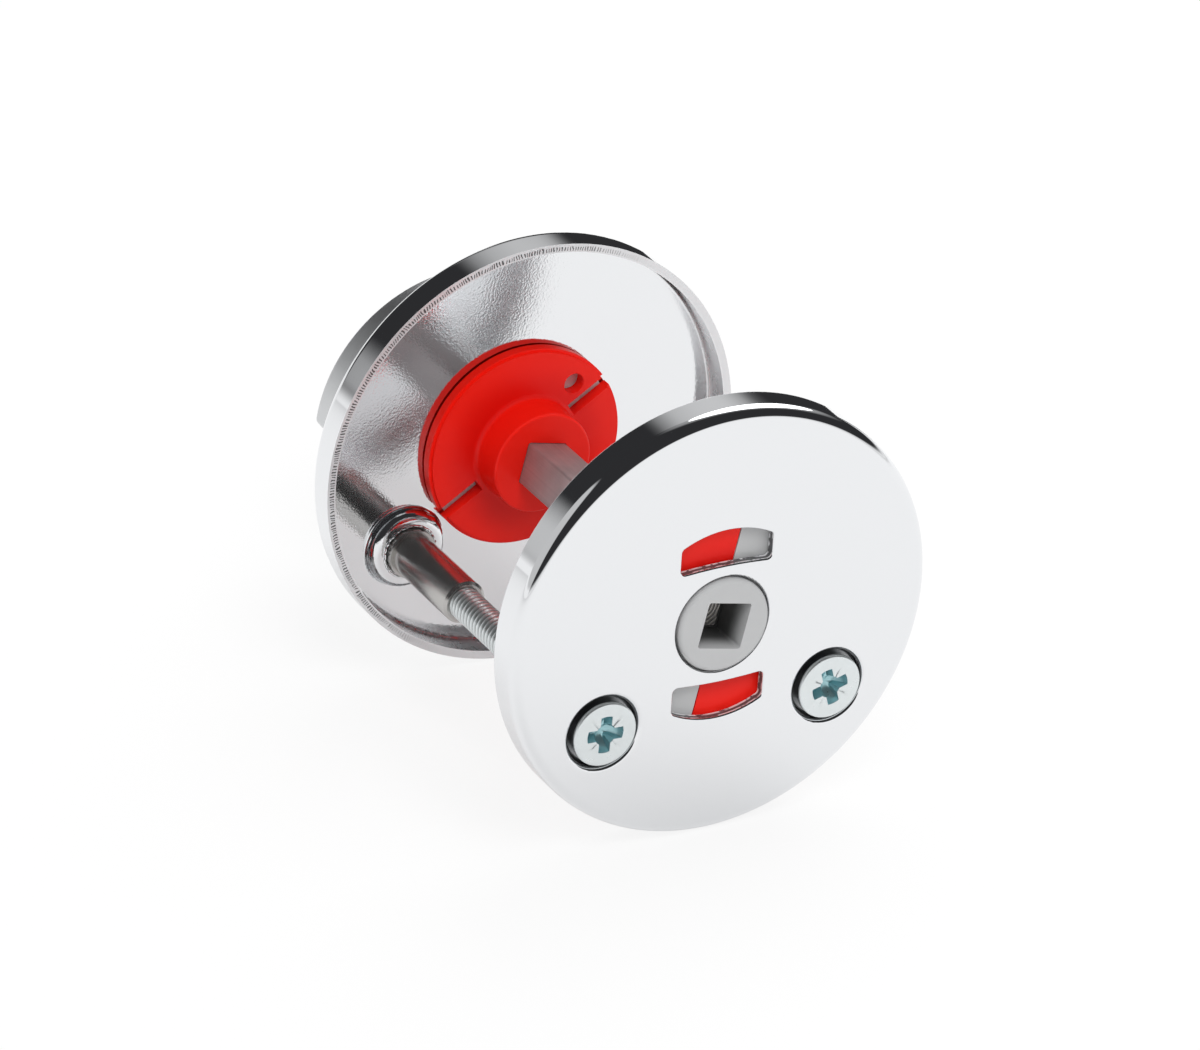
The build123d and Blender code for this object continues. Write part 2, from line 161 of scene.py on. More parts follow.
# Lamps: place and size
SOFTBOX_PLACE = (0.60, 0.42, 0.80)
SOFTBOX_SIZE = 0.95
FILL_PLACE = (-0.15, -0.65, 1.1)
FILL_SIZE = 0.7

# Lit parts of the dark room: direction, cosines of the angles at the edge and at the middle, level
GLOWS = (
    (SOFTBOX_PLACE, 0.80, 0.92, 0.35),
    ((0.34, 0.77, 0.54), 0.94, 0.99, 0.35),
    ((-0.88, 0.30, 0.28), 0.79, 0.85, 0.6),
)

# Bright strip of the dark room along the floor: level, and the sine of the height at which it ends
STRIP_LEVEL = 0.9
STRIP_TOP = 0.09

# Heights of the dark room's lowest and highest ring, in degrees
DOME_RISE = (-0.5, 89.9)

# Dark card behind the part: direction from the part, distance, half its width, and its top
CARD_SIDE = (0.615, 0.789, 0.0)
CARD_DISTANCE = 0.2
CARD_HALF_WIDTH = 0.07
CARD_TOP = 0.06

# Half the floor's width, and the width of the camera's sensor in millimetres
FLOOR_HALF = 4.0
SENSOR_WIDTH = 36.0


def length(name, description, default):
    """Length property in metres."""
    return bpy.props.FloatProperty(
        name=name, description=description, default=default, unit="LENGTH", precision=5
    )


def amount(name, description, default):
    """Plain number from nought upwards."""
    return bpy.props.FloatProperty(name=name, description=description, default=default, min=0.0)


def angle(name, description, default):
    """Angle property, given in degrees."""
    return bpy.props.FloatProperty(
        name=name, description=description, default=math.radians(default), subtype="ANGLE"
    )


def colour(name, description, default):
    """Linear colour property."""
    return bpy.props.FloatVectorProperty(
        name=name, description=description, default=default, subtype="COLOR", min=0.0, max=1.0
    )


class ThumbturnSizes(bpy.types.PropertyGroup):
    """Sizes of the fine parts and of the marks in the finishes."""

    sheet: length("Sheet", "Thickness of the pressed rosettes", 1.0 * MM)
    edge_round: length("Edge round", "Round between a rosette's face and its wall", 1.4 * MM)
    rim_lip: length("Rim lip", "Bright lip of a sheared rim at its inner edge", 0.16 * MM)
    worn_corner: length("Worn corner", "Width of the inner corner that is polished less", 1.6 * MM)
    worn_fade: length("Worn fade", "Width over which the worn corner sets in", 1.0 * MM)
    dull_reach: length("Dull reach", "Radius of the dull floor under a red disc", 11.6 * MM)
    window_start: length("Window start", "Distance from the axis where punched edges begin", 6.2 * MM)
    window_reach: length("Window reach", "Distance from the axis where punched edges end", 12.0 * MM)
    dimple_reach: length("Dimple reach", "Distance from a screw's axis that its dimple ends at", 4.5 * MM)
    dimple_depth: length("Dimple depth", "Distance from a rosette's face that a dimple ends at", 1.45 * MM)
    # The next two set where the painted shade in the screw dimples begins and where it is darkest
    dimple_shade_start: length("Dimple shade start", "Depth in a dimple at which dirt begins", 0.25 * MM)
    dimple_shade_full: length("Dimple shade full", "Depth in a dimple at which dirt is thickest", 0.8 * MM)
    boss_depth: length("Boss depth", "Distance from a rosette's face to its boss end", 2.6 * MM)
    screw_hole: length("Screw hole", "Radius of the hole in an outer dimple", 2.2 * MM)
    sleeve_hole: length("Sleeve hole", "Radius of the hole in an inner dimple", 3.05 * MM)
    burr_height: length("Burr height", "Height of the torn edge round a drawn hole", 0.2 * MM)
    burr_width: length("Burr width", "Width of the torn edge round a drawn hole", 0.3 * MM)
    thread_pitch: length("Thread pitch", "Advance of the screw thread in one turn", 0.7 * MM)
    thread_depth: length("Thread depth", "Height of the thread from root to crest", 0.38 * MM)
    shank_radius: length("Shank radius", "Crest radius of the screw thread", 1.95 * MM)
    head_rim: length("Head rim", "Straight edge of the screw head above its cone", 0.45 * MM)
    head_round: length("Head round", "Round at the edge of the screw head", 0.2 * MM)
    tip_chamfer: length("Tip chamfer", "Chamfer at the screw's tip", 0.5 * MM)
    wing_length: length("Recess wing", "Length of a recess wing from the screw's axis", 2.25 * MM)
    wing_width: length("Recess wing width", "Width of a recess wing", 1.4 * MM)
    core_radius: length("Recess core", "Radius of the round core between the wings", 1.3 * MM)
    recess_depth: length("Recess depth", "Depth of the recess at its wings", 1.5 * MM)
    recess_bevel: length("Recess bevel", "Width of the bevel at the recess mouth", 0.05 * MM)
    tick_end: length("Tick end", "Distance of a tick's end from the screw's axis", 2.75 * MM)
    tick_depth: length("Tick depth", "Depth of the ticks between the wings", 0.1 * MM)
    ring_pitch: length("Ring pitch", "Distance between the turned rings on the spindle's ends", 0.45 * MM)
    ring_wander: length("Ring wander", "How far those rings wander", 0.5 * MM)
    chrome_relief: length("Chrome relief", "Height of the bright chrome's marks", 0.006 * MM)
    satin_relief: length("Satin relief", "Height of the knob's brushing", 0.004 * MM)
    plastic_relief: length("Plastic relief", "Height of the mouldings' grain", 0.012 * MM)
    steel_relief: length("Steel relief", "Height of the spindle's streaks", 0.012 * MM)
    zinc_relief: length("Zinc relief", "Height of the screws' plating grain", 0.006 * MM)
    nickel_relief: length("Nickel relief", "Height of the sleeve nuts' turning rings", 0.0012 * MM)


class ThumbturnColours(bpy.types.PropertyGroup):
    """Colours and gloss of the finishes."""

    chrome: colour("Chrome", "Bright chrome on the rosettes", (0.81, 0.82, 0.835))
    shear: colour("Sheared edge", "Ticks on the sheared rim of the pressed sheet", (0.13, 0.13, 0.132))
    # Also the colour of the painted shade deep in the screw dimples
    punched: colour("Punched edge", "Dull wall of a punched opening", (0.10, 0.10, 0.105))
    satin: colour("Satin chrome", "Satin chrome of the knob", (0.68, 0.69, 0.70))
    satin_cloud: colour("Satin clouds", "Faint clouds on the knob", (0.56, 0.57, 0.58))
    red: colour("Red", "Red indicator plastic", (0.97, 0.014, 0.006))
    red_flow: colour("Red flow", "Flow clouds in the red plastic", (0.84, 0.009, 0.004))
    # Colour of the painted shade round the foot of the red hubs
    red_hub_shade: colour("Red hub shade", "Red plastic near its hub", (0.62, 0.002, 0.002))
    grey: colour("Grey", "Grey indicator plastic", (0.54, 0.545, 0.55))
    grey_flow: colour("Grey flow", "Flow clouds in the grey plastic", (0.46, 0.465, 0.47))
    # Colour of the painted shade deep in the release socket
    grey_socket_shade: colour("Grey socket shade", "Grey plastic deep in the release socket", (0.02, 0.02, 0.02))
    steel: colour("Steel", "Drawn steel of the spindle", (0.50, 0.48, 0.485))
    steel_scale: colour("Scale", "Dark streaks and scale on the spindle", (0.22, 0.205, 0.21))
    steel_end: colour("Sawn end", "Bright rings on the spindle's ends", (0.80, 0.76, 0.70))
    zinc: colour("Zinc", "Bright zinc plate of the screws", (0.76, 0.80, 0.81))
    zinc_cloud: colour("Zinc clouds", "Faint clouds on the screws", (0.66, 0.70, 0.70))
    zinc_recess: colour("Recess tint", "Passivated zinc in the screws' recesses", (0.42, 0.66, 0.70))
    # Colour of the painted shade in the screws' thread grooves
    zinc_groove_shade: colour("Thread groove shade", "Dark ground of the screws' threads", (0.10, 0.105, 0.10))
    nickel: colour("Nickel", "Polished nickel plate of the sleeve nuts", (0.50, 0.49, 0.475))
    nickel_cloud: colour("Nickel clouds", "Faint clouds on the sleeve nuts", (0.44, 0.43, 0.42))
    chrome_roughness: amount("Chrome roughness", "Roughness of the bright chrome", 0.03)
    satin_roughness: amount("Satin roughness", "Roughness of the knob", 0.34)
    plastic_roughness: amount("Plastic roughness", "Roughness of the mouldings", 0.3)
    steel_roughness: amount("Steel roughness", "Roughness of the spindle", 0.28)
    zinc_roughness: amount("Zinc roughness", "Roughness of the screws", 0.20)
    nickel_roughness: amount("Nickel roughness", "Roughness of the sleeve nuts", 0.17)


class ThumbturnStage(bpy.types.PropertyGroup):
    """Camera, floor and light."""

    azimuth: angle("Azimuth", "Camera's turn about the upright axis", -30.3)
    elevation: angle("Elevation", "Camera's height above the horizon", 27.35)
    roll: angle("Roll", "Camera's turn about its own axis", 3.7)
    distance: length("Distance", "Camera's distance from the middle of the door", 0.8938)
    shift_right: length("Aim right", "Camera's aim to the right of the spindle", -1.8 * MM)
    shift_up: length("Aim up", "Camera's aim above the spindle", 0.43 * MM)
    focal_length: amount("Focal length", "Lens for a 36 mm sensor, in millimetres", 240.0)
    floor: colour("Floor", "Pale floor", (0.86, 0.86, 0.86))
    floor_glow: amount("Floor glow", "Share of plain white in the floor as mirrors show it", 0.45)
    camera_glow: amount("Camera glow", "Further share of plain white for the camera", 0.4)
    dome: colour("Dome", "Dark room that the chrome reflects", (0.03, 0.03, 0.032))
    dome_radius: length("Dome radius", "Distance of the dark room's walls", 3.0)
    panel: colour("Panel", "Full glow of the lit parts of the dark room", WHITE)
    ambient: amount("Ambient", "Strength of the even light", 0.62)
    key_power: amount("Softbox power", "Power of the softbox in watts", 6.0)
    fill_power: amount("Fill power", "Power of the fill lamp in watts", 6.5)


class Signal:
    """One shader socket in an expression: arithmetic with numbers and other signals adds Math nodes."""

    def __init__(self, socket):
        self.socket = socket

    def math(self, operation, *operands):
        """Adds one Math node with these operands."""
        tree = self.socket.id_data
        node = tree.nodes.new("ShaderNodeMath")
        node.operation = operation
        for socket, value in zip(node.inputs, operands):
            plug(socket, value)
        return Signal(node.outputs[0])

    def __add__(self, other):
        return self.math("ADD", self, other)

    def __sub__(self, other):
        return self.math("SUBTRACT", self, other)

    def __rsub__(self, other):
        return self.math("SUBTRACT", other, self)

    def __mul__(self, other):
        return self.math("MULTIPLY", self, other)

    def __truediv__(self, other):
        return self.math("DIVIDE", self, other)

    def __pow__(self, other):
        return self.math("POWER", self, other)

    def __lt__(self, other):
        return self.math("LESS_THAN", self, other)

    def __gt__(self, other):
        return self.math("GREATER_THAN", self, other)

    def __abs__(self):
        return self.math("ABSOLUTE", self)

    __radd__ = __add__
    __rmul__ = __mul__

    def sine(self):
        """Sine of an angle in radians."""
        return self.math("SINE", self)

    def at_most(self, limit):
        """The value, or the limit where that is less."""
        return self.math("MINIMUM", self, limit)


def plug(socket, value):
    """Links a signal to a socket, or sets the socket's own value."""
    if isinstance(value, Signal):
        socket.id_data.links.new(value.socket, socket)
    else:
        socket.default_value = value


def hypot(across, upward):
    """Length of a line from its two parts."""
    return (across * across + upward * upward) ** 0.5


def rgba(value):
    """Signal as it is, or a colour with full alpha."""
    if isinstance(value, Signal):
        return value
    return (*value, 1.0)


class Nodes:
    """Node tree of one material or world, emptied and built up node by node."""

    def __init__(self, owner):
        owner.use_nodes = True
        self.tree = owner.node_tree
        self.tree.nodes.clear()

    def node(self, kind, settings=None, sockets=None, output=0):
        """Adds one node: its settings first, then the values or links of its sockets."""
        node = self.tree.nodes.new("ShaderNode" + kind)
        for key, value in (settings or {}).items():
            setattr(node, key, value)
        for key, value in (sockets or {}).items():
            socket = next(s for s in node.inputs if key in (s.identifier, s.name))
            plug(socket, value)
        return Signal(node.outputs[output]) if node.outputs else None

    def place(self):
        """Object coordinates."""
        return self.node("TexCoord", output="Object")

    def split(self, vector):
        """The x, y and z of a vector."""
        parts = self.node("SeparateXYZ", sockets={"Vector": vector}).socket.node.outputs
        return Signal(parts["X"]), Signal(parts["Y"]), Signal(parts["Z"])

    def towards(self, vector, direction):
        """Scalar product of a vector and a fixed direction."""
        sockets = {"Vector": vector, "Vector_001": direction}
        return self.node("VectorMath", {"operation": "DOT_PRODUCT"}, sockets, output="Value")

    def noise(self, vector, waves, detail=2.0):
        """Smooth noise from 0 to 1, with its waves for each metre as one number or one for each axis."""
        if isinstance(waves, tuple):
            vector = self.node("Mapping", sockets={"Vector": vector, "Scale": waves}, output="Vector")
            waves = 1.0
        sockets = {"Vector": vector, "Scale": waves, "Detail": detail}
        return self.node("TexNoise", sockets=sockets, output="Fac")

    def step(self, value, low, high):
        """Smooth step from 0 at low to 1 at high."""
        sockets = {"Value": value, "From Min": low, "From Max": high}
        return self.node("MapRange", {"interpolation_type": "SMOOTHSTEP"}, sockets)

    def blend(self, factor, first, second):
        """Colour that goes from first to second with the factor."""
        sockets = {"Factor_Float": factor, "A_Color": rgba(first), "B_Color": rgba(second)}
        return self.node("Mix", {"data_type": "RGBA"}, sockets, output=2)

    def normal_where(self, factor, direction):
        """The surface's own normal, or a direction in the piece's axes where the factor is 1."""
        settings = {"vector_type": "NORMAL", "convert_from": "OBJECT", "convert_to": "WORLD"}
        turned = self.node("VectorTransform", settings, {"Vector": direction})
        own = self.node("NewGeometry", output="Normal")
        sockets = {"Factor_Float": factor, "A_Vector": own, "B_Vector": turned}
        return self.node("Mix", {"data_type": "VECTOR"}, sockets, output=1)

    def bump(self, height, distance, normal=None):
        """Normal for a height that reaches a distance, on the surface's own normal or another one."""
        sockets = {"Height": height, "Distance": distance}
        if normal is not None:
            sockets["Normal"] = normal
        return self.node("Bump", sockets=sockets, output="Normal")

    def surface(self, sockets):
        """Ends the tree in one principled surface."""
        self.node("OutputMaterial", sockets={"Surface": self.node("BsdfPrincipled", sockets=sockets)})


def new_nodes(name):
    """New material and its node tree."""
    material = bpy.data.materials.new(name)
    return material, Nodes(material)


def rosette_place(nodes, rim_level, inward):
    """Signals for a place on a rosette, inward being the sign of Y from its face to its rim.

    Radius is the distance from the spindle, height that from the rim and depth that from the face.
    """
    vector = nodes.place()
    x, y, z = nodes.split(vector)
    place = SimpleNamespace(vector=vector, x=x, z=z, radius=hypot(x, z), inward=inward)
    place.height = (rim_level - y) * inward
    place.depth = ROSETTE_HEIGHT - place.height
    return place


def punched_edges(nodes, place, sizes):
    """Walls of the punched openings near the spindle, and broken bright lines along both their sides."""
    share = place.depth / sizes.sheet
    in_sheet = (share > PUNCHED_WALL[0]) * (share < PUNCHED_WALL[1])
    walls = in_sheet * (place.radius > sizes.window_start) * (place.radius < sizes.window_reach)
    lines = 1 - nodes.step(share, *FACE_LINE_FADE) + nodes.step(share, *FLOOR_LINE_FADE)
    patches = nodes.step(nodes.noise(place.vector, waves=1100.0, detail=3.0), *LINE_PATCHES)
    return walls, walls * lines * patches


def dimple_shade(nodes, place, sizes):
    """Painted shade in the dimples round the screw heads, darker with depth, in the punched edges' dark
    colour.
    """
    from_screw = hypot(abs(place.x) - SCREW_PLACE[0], place.z - SCREW_PLACE[1])
    in_dimple = (from_screw < sizes.dimple_reach) * (place.depth < sizes.dimple_depth)
    return in_dimple * nodes.step(place.depth, sizes.dimple_shade_start, sizes.dimple_shade_full)


def rim_ticks(nodes, place, sizes, on_rim):
    """Ticks across the sheared rim: a wave round the rim, cut off at uneven levels and lengths."""
    patches = nodes.noise(place.vector, waves=700.0, detail=3.0)
    turn = place.x.math("ARCTAN2", place.x, place.z)
    wave = (RIM_TICKS * turn + TICK_SHIFT * patches).sine()
    cut = 1 - 2 * patches
    ticked_side = nodes.step(nodes.towards(place.vector, TICKED_SIDE) / place.radius, *TICKED_FADE)
    tick_length = sizes.sheet * (0.35 + 0.7 * patches)
    within = tick_length > place.radius - (ROSETTE_RADIUS - sizes.sheet)
    return nodes.step(wave, cut, cut + 0.4) * ticked_side * on_rim * within


def edge_round_normal(nodes, place, sizes):
    """Normal of a rosette, taken on the round between face and wall from the round's own circle.

    On the outer side of the round it points away from the centre of that circle.
    """
    outwards = place.radius - (ROSETTE_RADIUS - sizes.edge_round)
    facewards = sizes.edge_round - place.depth
    outer_side = hypot(outwards, facewards) > sizes.edge_round / 2
    on_round = (outwards > 0.0) * (facewards > 0.0) * outer_side
    radial = outwards / place.radius
    parts = {"X": radial * place.x, "Y": -place.inward * facewards, "Z": radial * place.z}
    return nodes.normal_where(on_round, nodes.node("CombineXYZ", sockets=parts))


def bright_chrome(name, colours, sizes, rim_level, inward):
    """Bright chrome on pressed sheet: still face, pitted inside, ticked rim and dull punched edges.

    Inside is what lies within the wall and behind the floor. The floor under the red discs is left dull,
    and the inner corner is polished less on its worn side.
    """
    material, nodes = new_nodes(name)
    place = rosette_place(nodes, rim_level, inward)
    vector = place.vector
    radius = place.radius
    wall = ROSETTE_RADIUS - sizes.sheet
    on_rim = (place.height < TOLERANCE) * (radius > wall)
    inside = (radius < wall + TOLERANCE) * (place.depth > sizes.sheet - TOLERANCE) * (1 - on_rim)
    punched, torn = punched_edges(nodes, place, sizes)
    # Dark punched walls less their bright lines, plus painted shade deep in the screw dimples
    dull = punched - torn + 0.75 * dimple_shade(nodes, place, sizes)
    unpolished = inside * (radius < sizes.dull_reach)
    worn_start = wall - sizes.worn_corner
    worn_side = nodes.step(nodes.towards(vector, WORN_SIDE) / radius, *WORN_FADE)
    worn = inside * worn_side * nodes.step(radius, worn_start, worn_start + sizes.worn_fade)
    ticks = rim_ticks(nodes, place, sizes, on_rim)
    beside_lip = 1 - (radius < wall + sizes.rim_lip)
    sheared = beside_lip * (0.06 * on_rim + 0.94 * ticks)
    ripple = nodes.noise(vector, waves=220.0)
    pits = nodes.noise(vector, waves=3700.0, detail=4.0) * inside
    haze = nodes.noise(vector, waves=420.0, detail=4.0) * inside
    roughness = colours.chrome_roughness + 0.02 * ripple + 0.03 * haze + 0.2 * on_rim
    roughness = roughness + 0.3 * dull + 0.45 * torn + 0.4 * unpolished + 0.22 * worn
    relief = 0.25 * ripple + 1.5 * pits + 0.8 * ticks
    plated = nodes.blend(sheared, colours.chrome, colours.shear)
    nodes.surface({
        "Base Color": nodes.blend(dull, plated, colours.punched),
        "Metallic": 1 - 0.6 * on_rim - 0.9 * unpolished - 0.8 * punched,
        "Roughness": roughness,
        "Normal": nodes.bump(relief, sizes.chrome_relief, edge_round_normal(nodes, place, sizes)),
    })
    return material


def satin_chrome(colours, sizes):
    """Satin chrome on cast zinc with fine even brushing and faint clouds."""
    material, nodes = new_nodes("satin_chrome")
    vector = nodes.place()
    brushing = nodes.noise(vector, waves=(9000.0, 500.0, 9000.0), detail=3.0)
    clouds = nodes.noise(vector, waves=160.0, detail=3.0)
    nodes.surface({
        "Base Color": nodes.blend(0.35 * clouds, colours.satin, colours.satin_cloud),
        "Metallic": 1.0,
        "Roughness": colours.satin_roughness + 0.10 * brushing + 0.06 * clouds,
        "Normal": nodes.bump(brushing, sizes.satin_relief),
    })
    return material


def painted_socket_shade(nodes, vector):
    """Painted shade in the grey hub's release socket, which grows with the depth behind the hub's face."""
    x, y, z = nodes.split(vector)
    within = hypot(x, z) < SOCKET_REACH
    return SOCKET_SHADE * within * nodes.step(y - HUB_LOW[1], *SOCKET_FADE)


def painted_hub_shade(nodes, vector):
    """Painted shade on the red mouldings round the foot of their hubs, fading out towards their edge."""
    x, _, z = nodes.split(vector)
    radius = hypot(x, z)
    return HUB_SHADE * (1 - nodes.step(radius, *HUB_FADE)) * nodes.step(radius, *HUB_FOOT)


def moulded_plastic(name, tints, shade, colours, sizes):
    """Moulded plastic: faint flow clouds, fine mould grain, slightly uneven gloss and painted shade in one
    place.

    The tints are the plain colour, that of the flow clouds and that of the painted shade.
    """
    material, nodes = new_nodes(name)
    plain, flowed, shaded = tints
    vector = nodes.place()
    flow = nodes.noise(vector, waves=(160.0, 420.0, 260.0), detail=4.0)
    grain = nodes.noise(vector, waves=5200.0)
    rubbed = nodes.noise(vector, waves=(2600.0, 900.0, 420.0), detail=3.0)
    scuffs = nodes.step(rubbed, *SCUFF_PATCHES)
    clouded = nodes.blend(0.5 * flow, plain, flowed)
    nodes.surface({
        # The shade function blends in the painted shade colour where it falls
        "Base Color": nodes.blend(shade(nodes, vector), clouded, shaded),
        "Roughness": colours.plastic_roughness + 0.12 * flow + 0.08 * scuffs,
        "Specular IOR Level": 0.2,
        "Normal": nodes.bump(0.6 * grain + flow, sizes.plastic_relief),
    })
    return material


def drawn_steel(colours, sizes):
    """Drawn square bar: streaks along Y, clouds of scale, and bright turned rings on the sawn ends."""
    material, nodes = new_nodes("drawn_steel")
    vector = nodes.place()
    x, y, z = nodes.split(vector)
    streaks = nodes.noise(vector, waves=(4200.0, 70.0, 4200.0), detail=4.0)
    scale = nodes.noise(vector, waves=330.0, detail=4.0)
    end = (y < SPINDLE_LOW[1] + TOLERANCE) + (y > SPINDLE_HIGH[1] - TOLERANCE)
    wander = sizes.ring_wander * nodes.noise(vector, waves=700.0)
    rings = ((hypot(x, z) + wander) * (FULL_TURN / sizes.ring_pitch)).sine()
    dark = (0.3 * nodes.step(scale, *SCALE_PATCHES) + 0.35 * streaks) * (1 - end)
    bar = nodes.blend(dark, colours.steel, colours.steel_scale)
    nodes.surface({
        "Base Color": nodes.blend(end * (0.5 + 0.5 * rings), bar, colours.steel_end),
        "Metallic": 0.7,
        "Roughness": colours.steel_roughness + 0.18 * streaks + 0.12 * scale,
        "Normal": nodes.bump(streaks * (1 - end) + 1.6 * rings * end, sizes.steel_relief),
    })
    return material


def zinc_plate(colours, sizes):
    """Bright zinc plate with a cool cast, tinted in the recess, with painted shade in the thread's
    grooves.

    The piece's own attributes mark the recess and the depth of the thread, which sets that painted shade.
    """
    material, nodes = new_nodes("zinc_plate")
    vector = nodes.place()
    recess = nodes.node("Attribute", {"attribute_name": "recess"}, output="Fac")
    # The groove attribute carries the painted shade in the thread's grooves
    groove = nodes.node("Attribute", {"attribute_name": "groove"}, output="Fac")
    clouds = nodes.noise(vector, waves=900.0, detail=4.0)
    grain = nodes.noise(vector, waves=6500.0)
    plate = nodes.blend(0.5 * clouds, colours.zinc, colours.zinc_cloud)
    tinted = nodes.blend(recess, plate, colours.zinc_recess)
    nodes.surface({
        "Base Color": nodes.blend(groove, tinted, colours.zinc_groove_shade),
        "Metallic": 0.85,
        "Roughness": colours.zinc_roughness + 0.12 * clouds + 0.08 * grain,
        "Normal": nodes.bump(grain + 0.8 * clouds, sizes.zinc_relief),
    })
    return material


def nickel_plate(colours, sizes):
    """Polished nickel plate over faint turning rings along Y."""
    material, nodes = new_nodes("nickel_plate")
    vector = nodes.place()
    rings = nodes.noise(vector, waves=(60.0, 9000.0, 60.0))
    clouds = nodes.noise(vector, waves=500.0, detail=3.0)
    nodes.surface({
        "Base Color": nodes.blend(0.4 * clouds, colours.nickel, colours.nickel_cloud),
        "Metallic": 0.95,
        "Roughness": colours.nickel_roughness + 0.06 * clouds + 0.05 * rings,
        "Normal": nodes.bump(rings, sizes.nickel_relief),
    })
    return material


def paint(node, material):
    """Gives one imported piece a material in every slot."""
    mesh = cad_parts[node].data
    if not mesh.materials:
        mesh.materials.append(material)
    for index in range(len(mesh.materials)):
        mesh.materials[index] = material


def ring_faces(rows, columns, closed_rows=False):
    """Quads between neighbouring rows of a grid whose columns close round."""
    upper = np.arange(rows if closed_rows else rows - 1)[:, None]
    column = np.arange(columns)[None, :]
    following = (column + 1) % columns
    lower = (upper + 1) % rows
    corners = [upper * columns + column, upper * columns + following]
    corners += [lower * columns + following, lower * columns + column]
    return np.stack(corners, axis=-1).reshape(-1, 4)


def fan_faces(centre, first, columns):
    """Triangles from one pole to the ring of points that starts at first."""
    column = np.arange(columns)
    return np.stack([np.full(columns, centre), first + column, first + (column + 1) % columns], axis=-1)


def add_piece(name, points, faces, material, sharp_angle=40.0):
    """Object at the origin from points and faces, smooth but for edges over the sharp angle."""
    mesh = bpy.data.meshes.new(name)
    mesh.from_pydata(points.tolist(), [], faces)
    mesh.validate()
    mesh.polygons.foreach_set("use_smooth", np.ones(len(mesh.polygons), dtype=bool))
    mesh.set_sharp_from_angle(angle=math.radians(sharp_angle))
    mesh.materials.append(material)
    piece = bpy.data.objects.new(name, mesh)
    bpy.context.scene.collection.objects.link(piece)
    return piece


def mark(piece, name, values):
    """Stores a number for each point of a piece, under a name that its material reads."""
    attribute = piece.data.attributes.new(name, "FLOAT", "POINT")
    attribute.data.foreach_set("value", values.astype(np.float32))


def about_spindle(radius, turn, level):
    """Points from radii, clockwise turns from straight up and levels along Y."""
    return np.stack(np.broadcast_arrays(radius * np.sin(turn), level, radius * np.cos(turn)), axis=-1)


def cross_ring(wing, half_width, core):
    """Turns and radii round a cross with four wings.

    From the middle of a wing to the gap beside it the line follows the wing's end arc, then its flat
    side, where radius = half width / sin(turn), then the round core. This eighth is mirrored and repeated.
    """
    wing_turn = FULL_TURN / WINGS
    end_arc = np.linspace(0, math.asin(half_width / wing), RECESS_ARC)[:-1]
    side = np.linspace(wing, core, RECESS_SIDE)
    core_arc = np.linspace(math.asin(half_width / core), wing_turn / 2, RECESS_ARC)[1:]
    turn = np.concatenate([end_arc, np.arcsin(half_width / side), core_arc])
    radius = np.concatenate([np.full(len(end_arc), wing), side, np.full(len(core_arc), core)])
    turn = np.concatenate([-turn[:0:-1], turn[:-1]])
    radius = np.concatenate([radius[:0:-1], radius[:-1]])
    wings = np.arange(WINGS) * wing_turn
    return (wings[:, None] + turn[None, :]).ravel(), np.tile(radius, WINGS)


def screw_head(face, head, recess_turn, sizes):
    """Turns of a screw's columns, the rings of its cross recess, and the rings of its head round that.

    The recess goes from its floor to the bevel at its mouth. The head goes on over the flat face, where
    four ticks are sunk between the wings, and over the rounded edge to the top of the cone.
    """
    half_width = sizes.wing_width / 2
    turn, mouth = cross_ring(sizes.wing_length, half_width, sizes.core_radius)
    between_wings = np.isclose(np.abs(np.sin(WINGS / 2 * turn)), 1.0)
    floor_wing = 0.55 * sizes.wing_length
    floor_half_width = 0.72 * half_width
    floor_core = 0.6 * sizes.core_radius
    floor_turn, floor = cross_ring(floor_wing, floor_half_width, floor_core)
    bend = 0.93 * mouth
    bend_depth = 0.35 * sizes.recess_depth
    bevel_depth = 2 * sizes.recess_bevel
    turn = turn + recess_turn
    recess = [
        about_spindle(floor, floor_turn + recess_turn, face + sizes.recess_depth),
        about_spindle(bend, turn, face + bend_depth),
        about_spindle(mouth - sizes.recess_bevel, turn, face + bevel_depth),
    ]
    rings = [about_spindle(mouth, turn, face)]
    flat_end = head - sizes.head_round
    for share in FACE_SHARES:
        radius = mouth + share * (flat_end - mouth)
        sunk = between_wings & (radius < sizes.tick_end) & (share < TICKED_SHARE)
        rings.append(about_spindle(radius, turn, face + sizes.tick_depth * sunk))
    for lean in np.linspace(0, FULL_TURN / 4, HEAD_ARC)[1:]:
        radius = flat_end + sizes.head_round * math.sin(lean)
        rings.append(about_spindle(radius, turn, face + sizes.head_round * (1 - math.cos(lean))))
    rings.append(about_spindle(head, turn, face + sizes.head_rim))
    return turn, recess, rings


def thread_radius(level, turn, start, end, sizes):
    """Radius of the threaded shank.

    The thread is a wave of level / pitch - turn / full turn, with broad crests and narrow grooves. It
    fades in over one pitch at its start, and the tip is cut back by a 45 degree chamfer.
    """
    phase = level / sizes.thread_pitch - turn / FULL_TURN
    triangle = np.abs(2 * (phase - np.floor(phase)) - 1)
    groove = np.clip(THREAD_STEEPNESS * triangle - THREAD_CREST, 0, 1)
    fade = np.clip((level - start) / sizes.thread_pitch, 0, 1)
    radius = sizes.shank_radius - sizes.thread_depth * groove * fade
    return np.minimum(radius, sizes.shank_radius - sizes.tip_chamfer + (end - level))


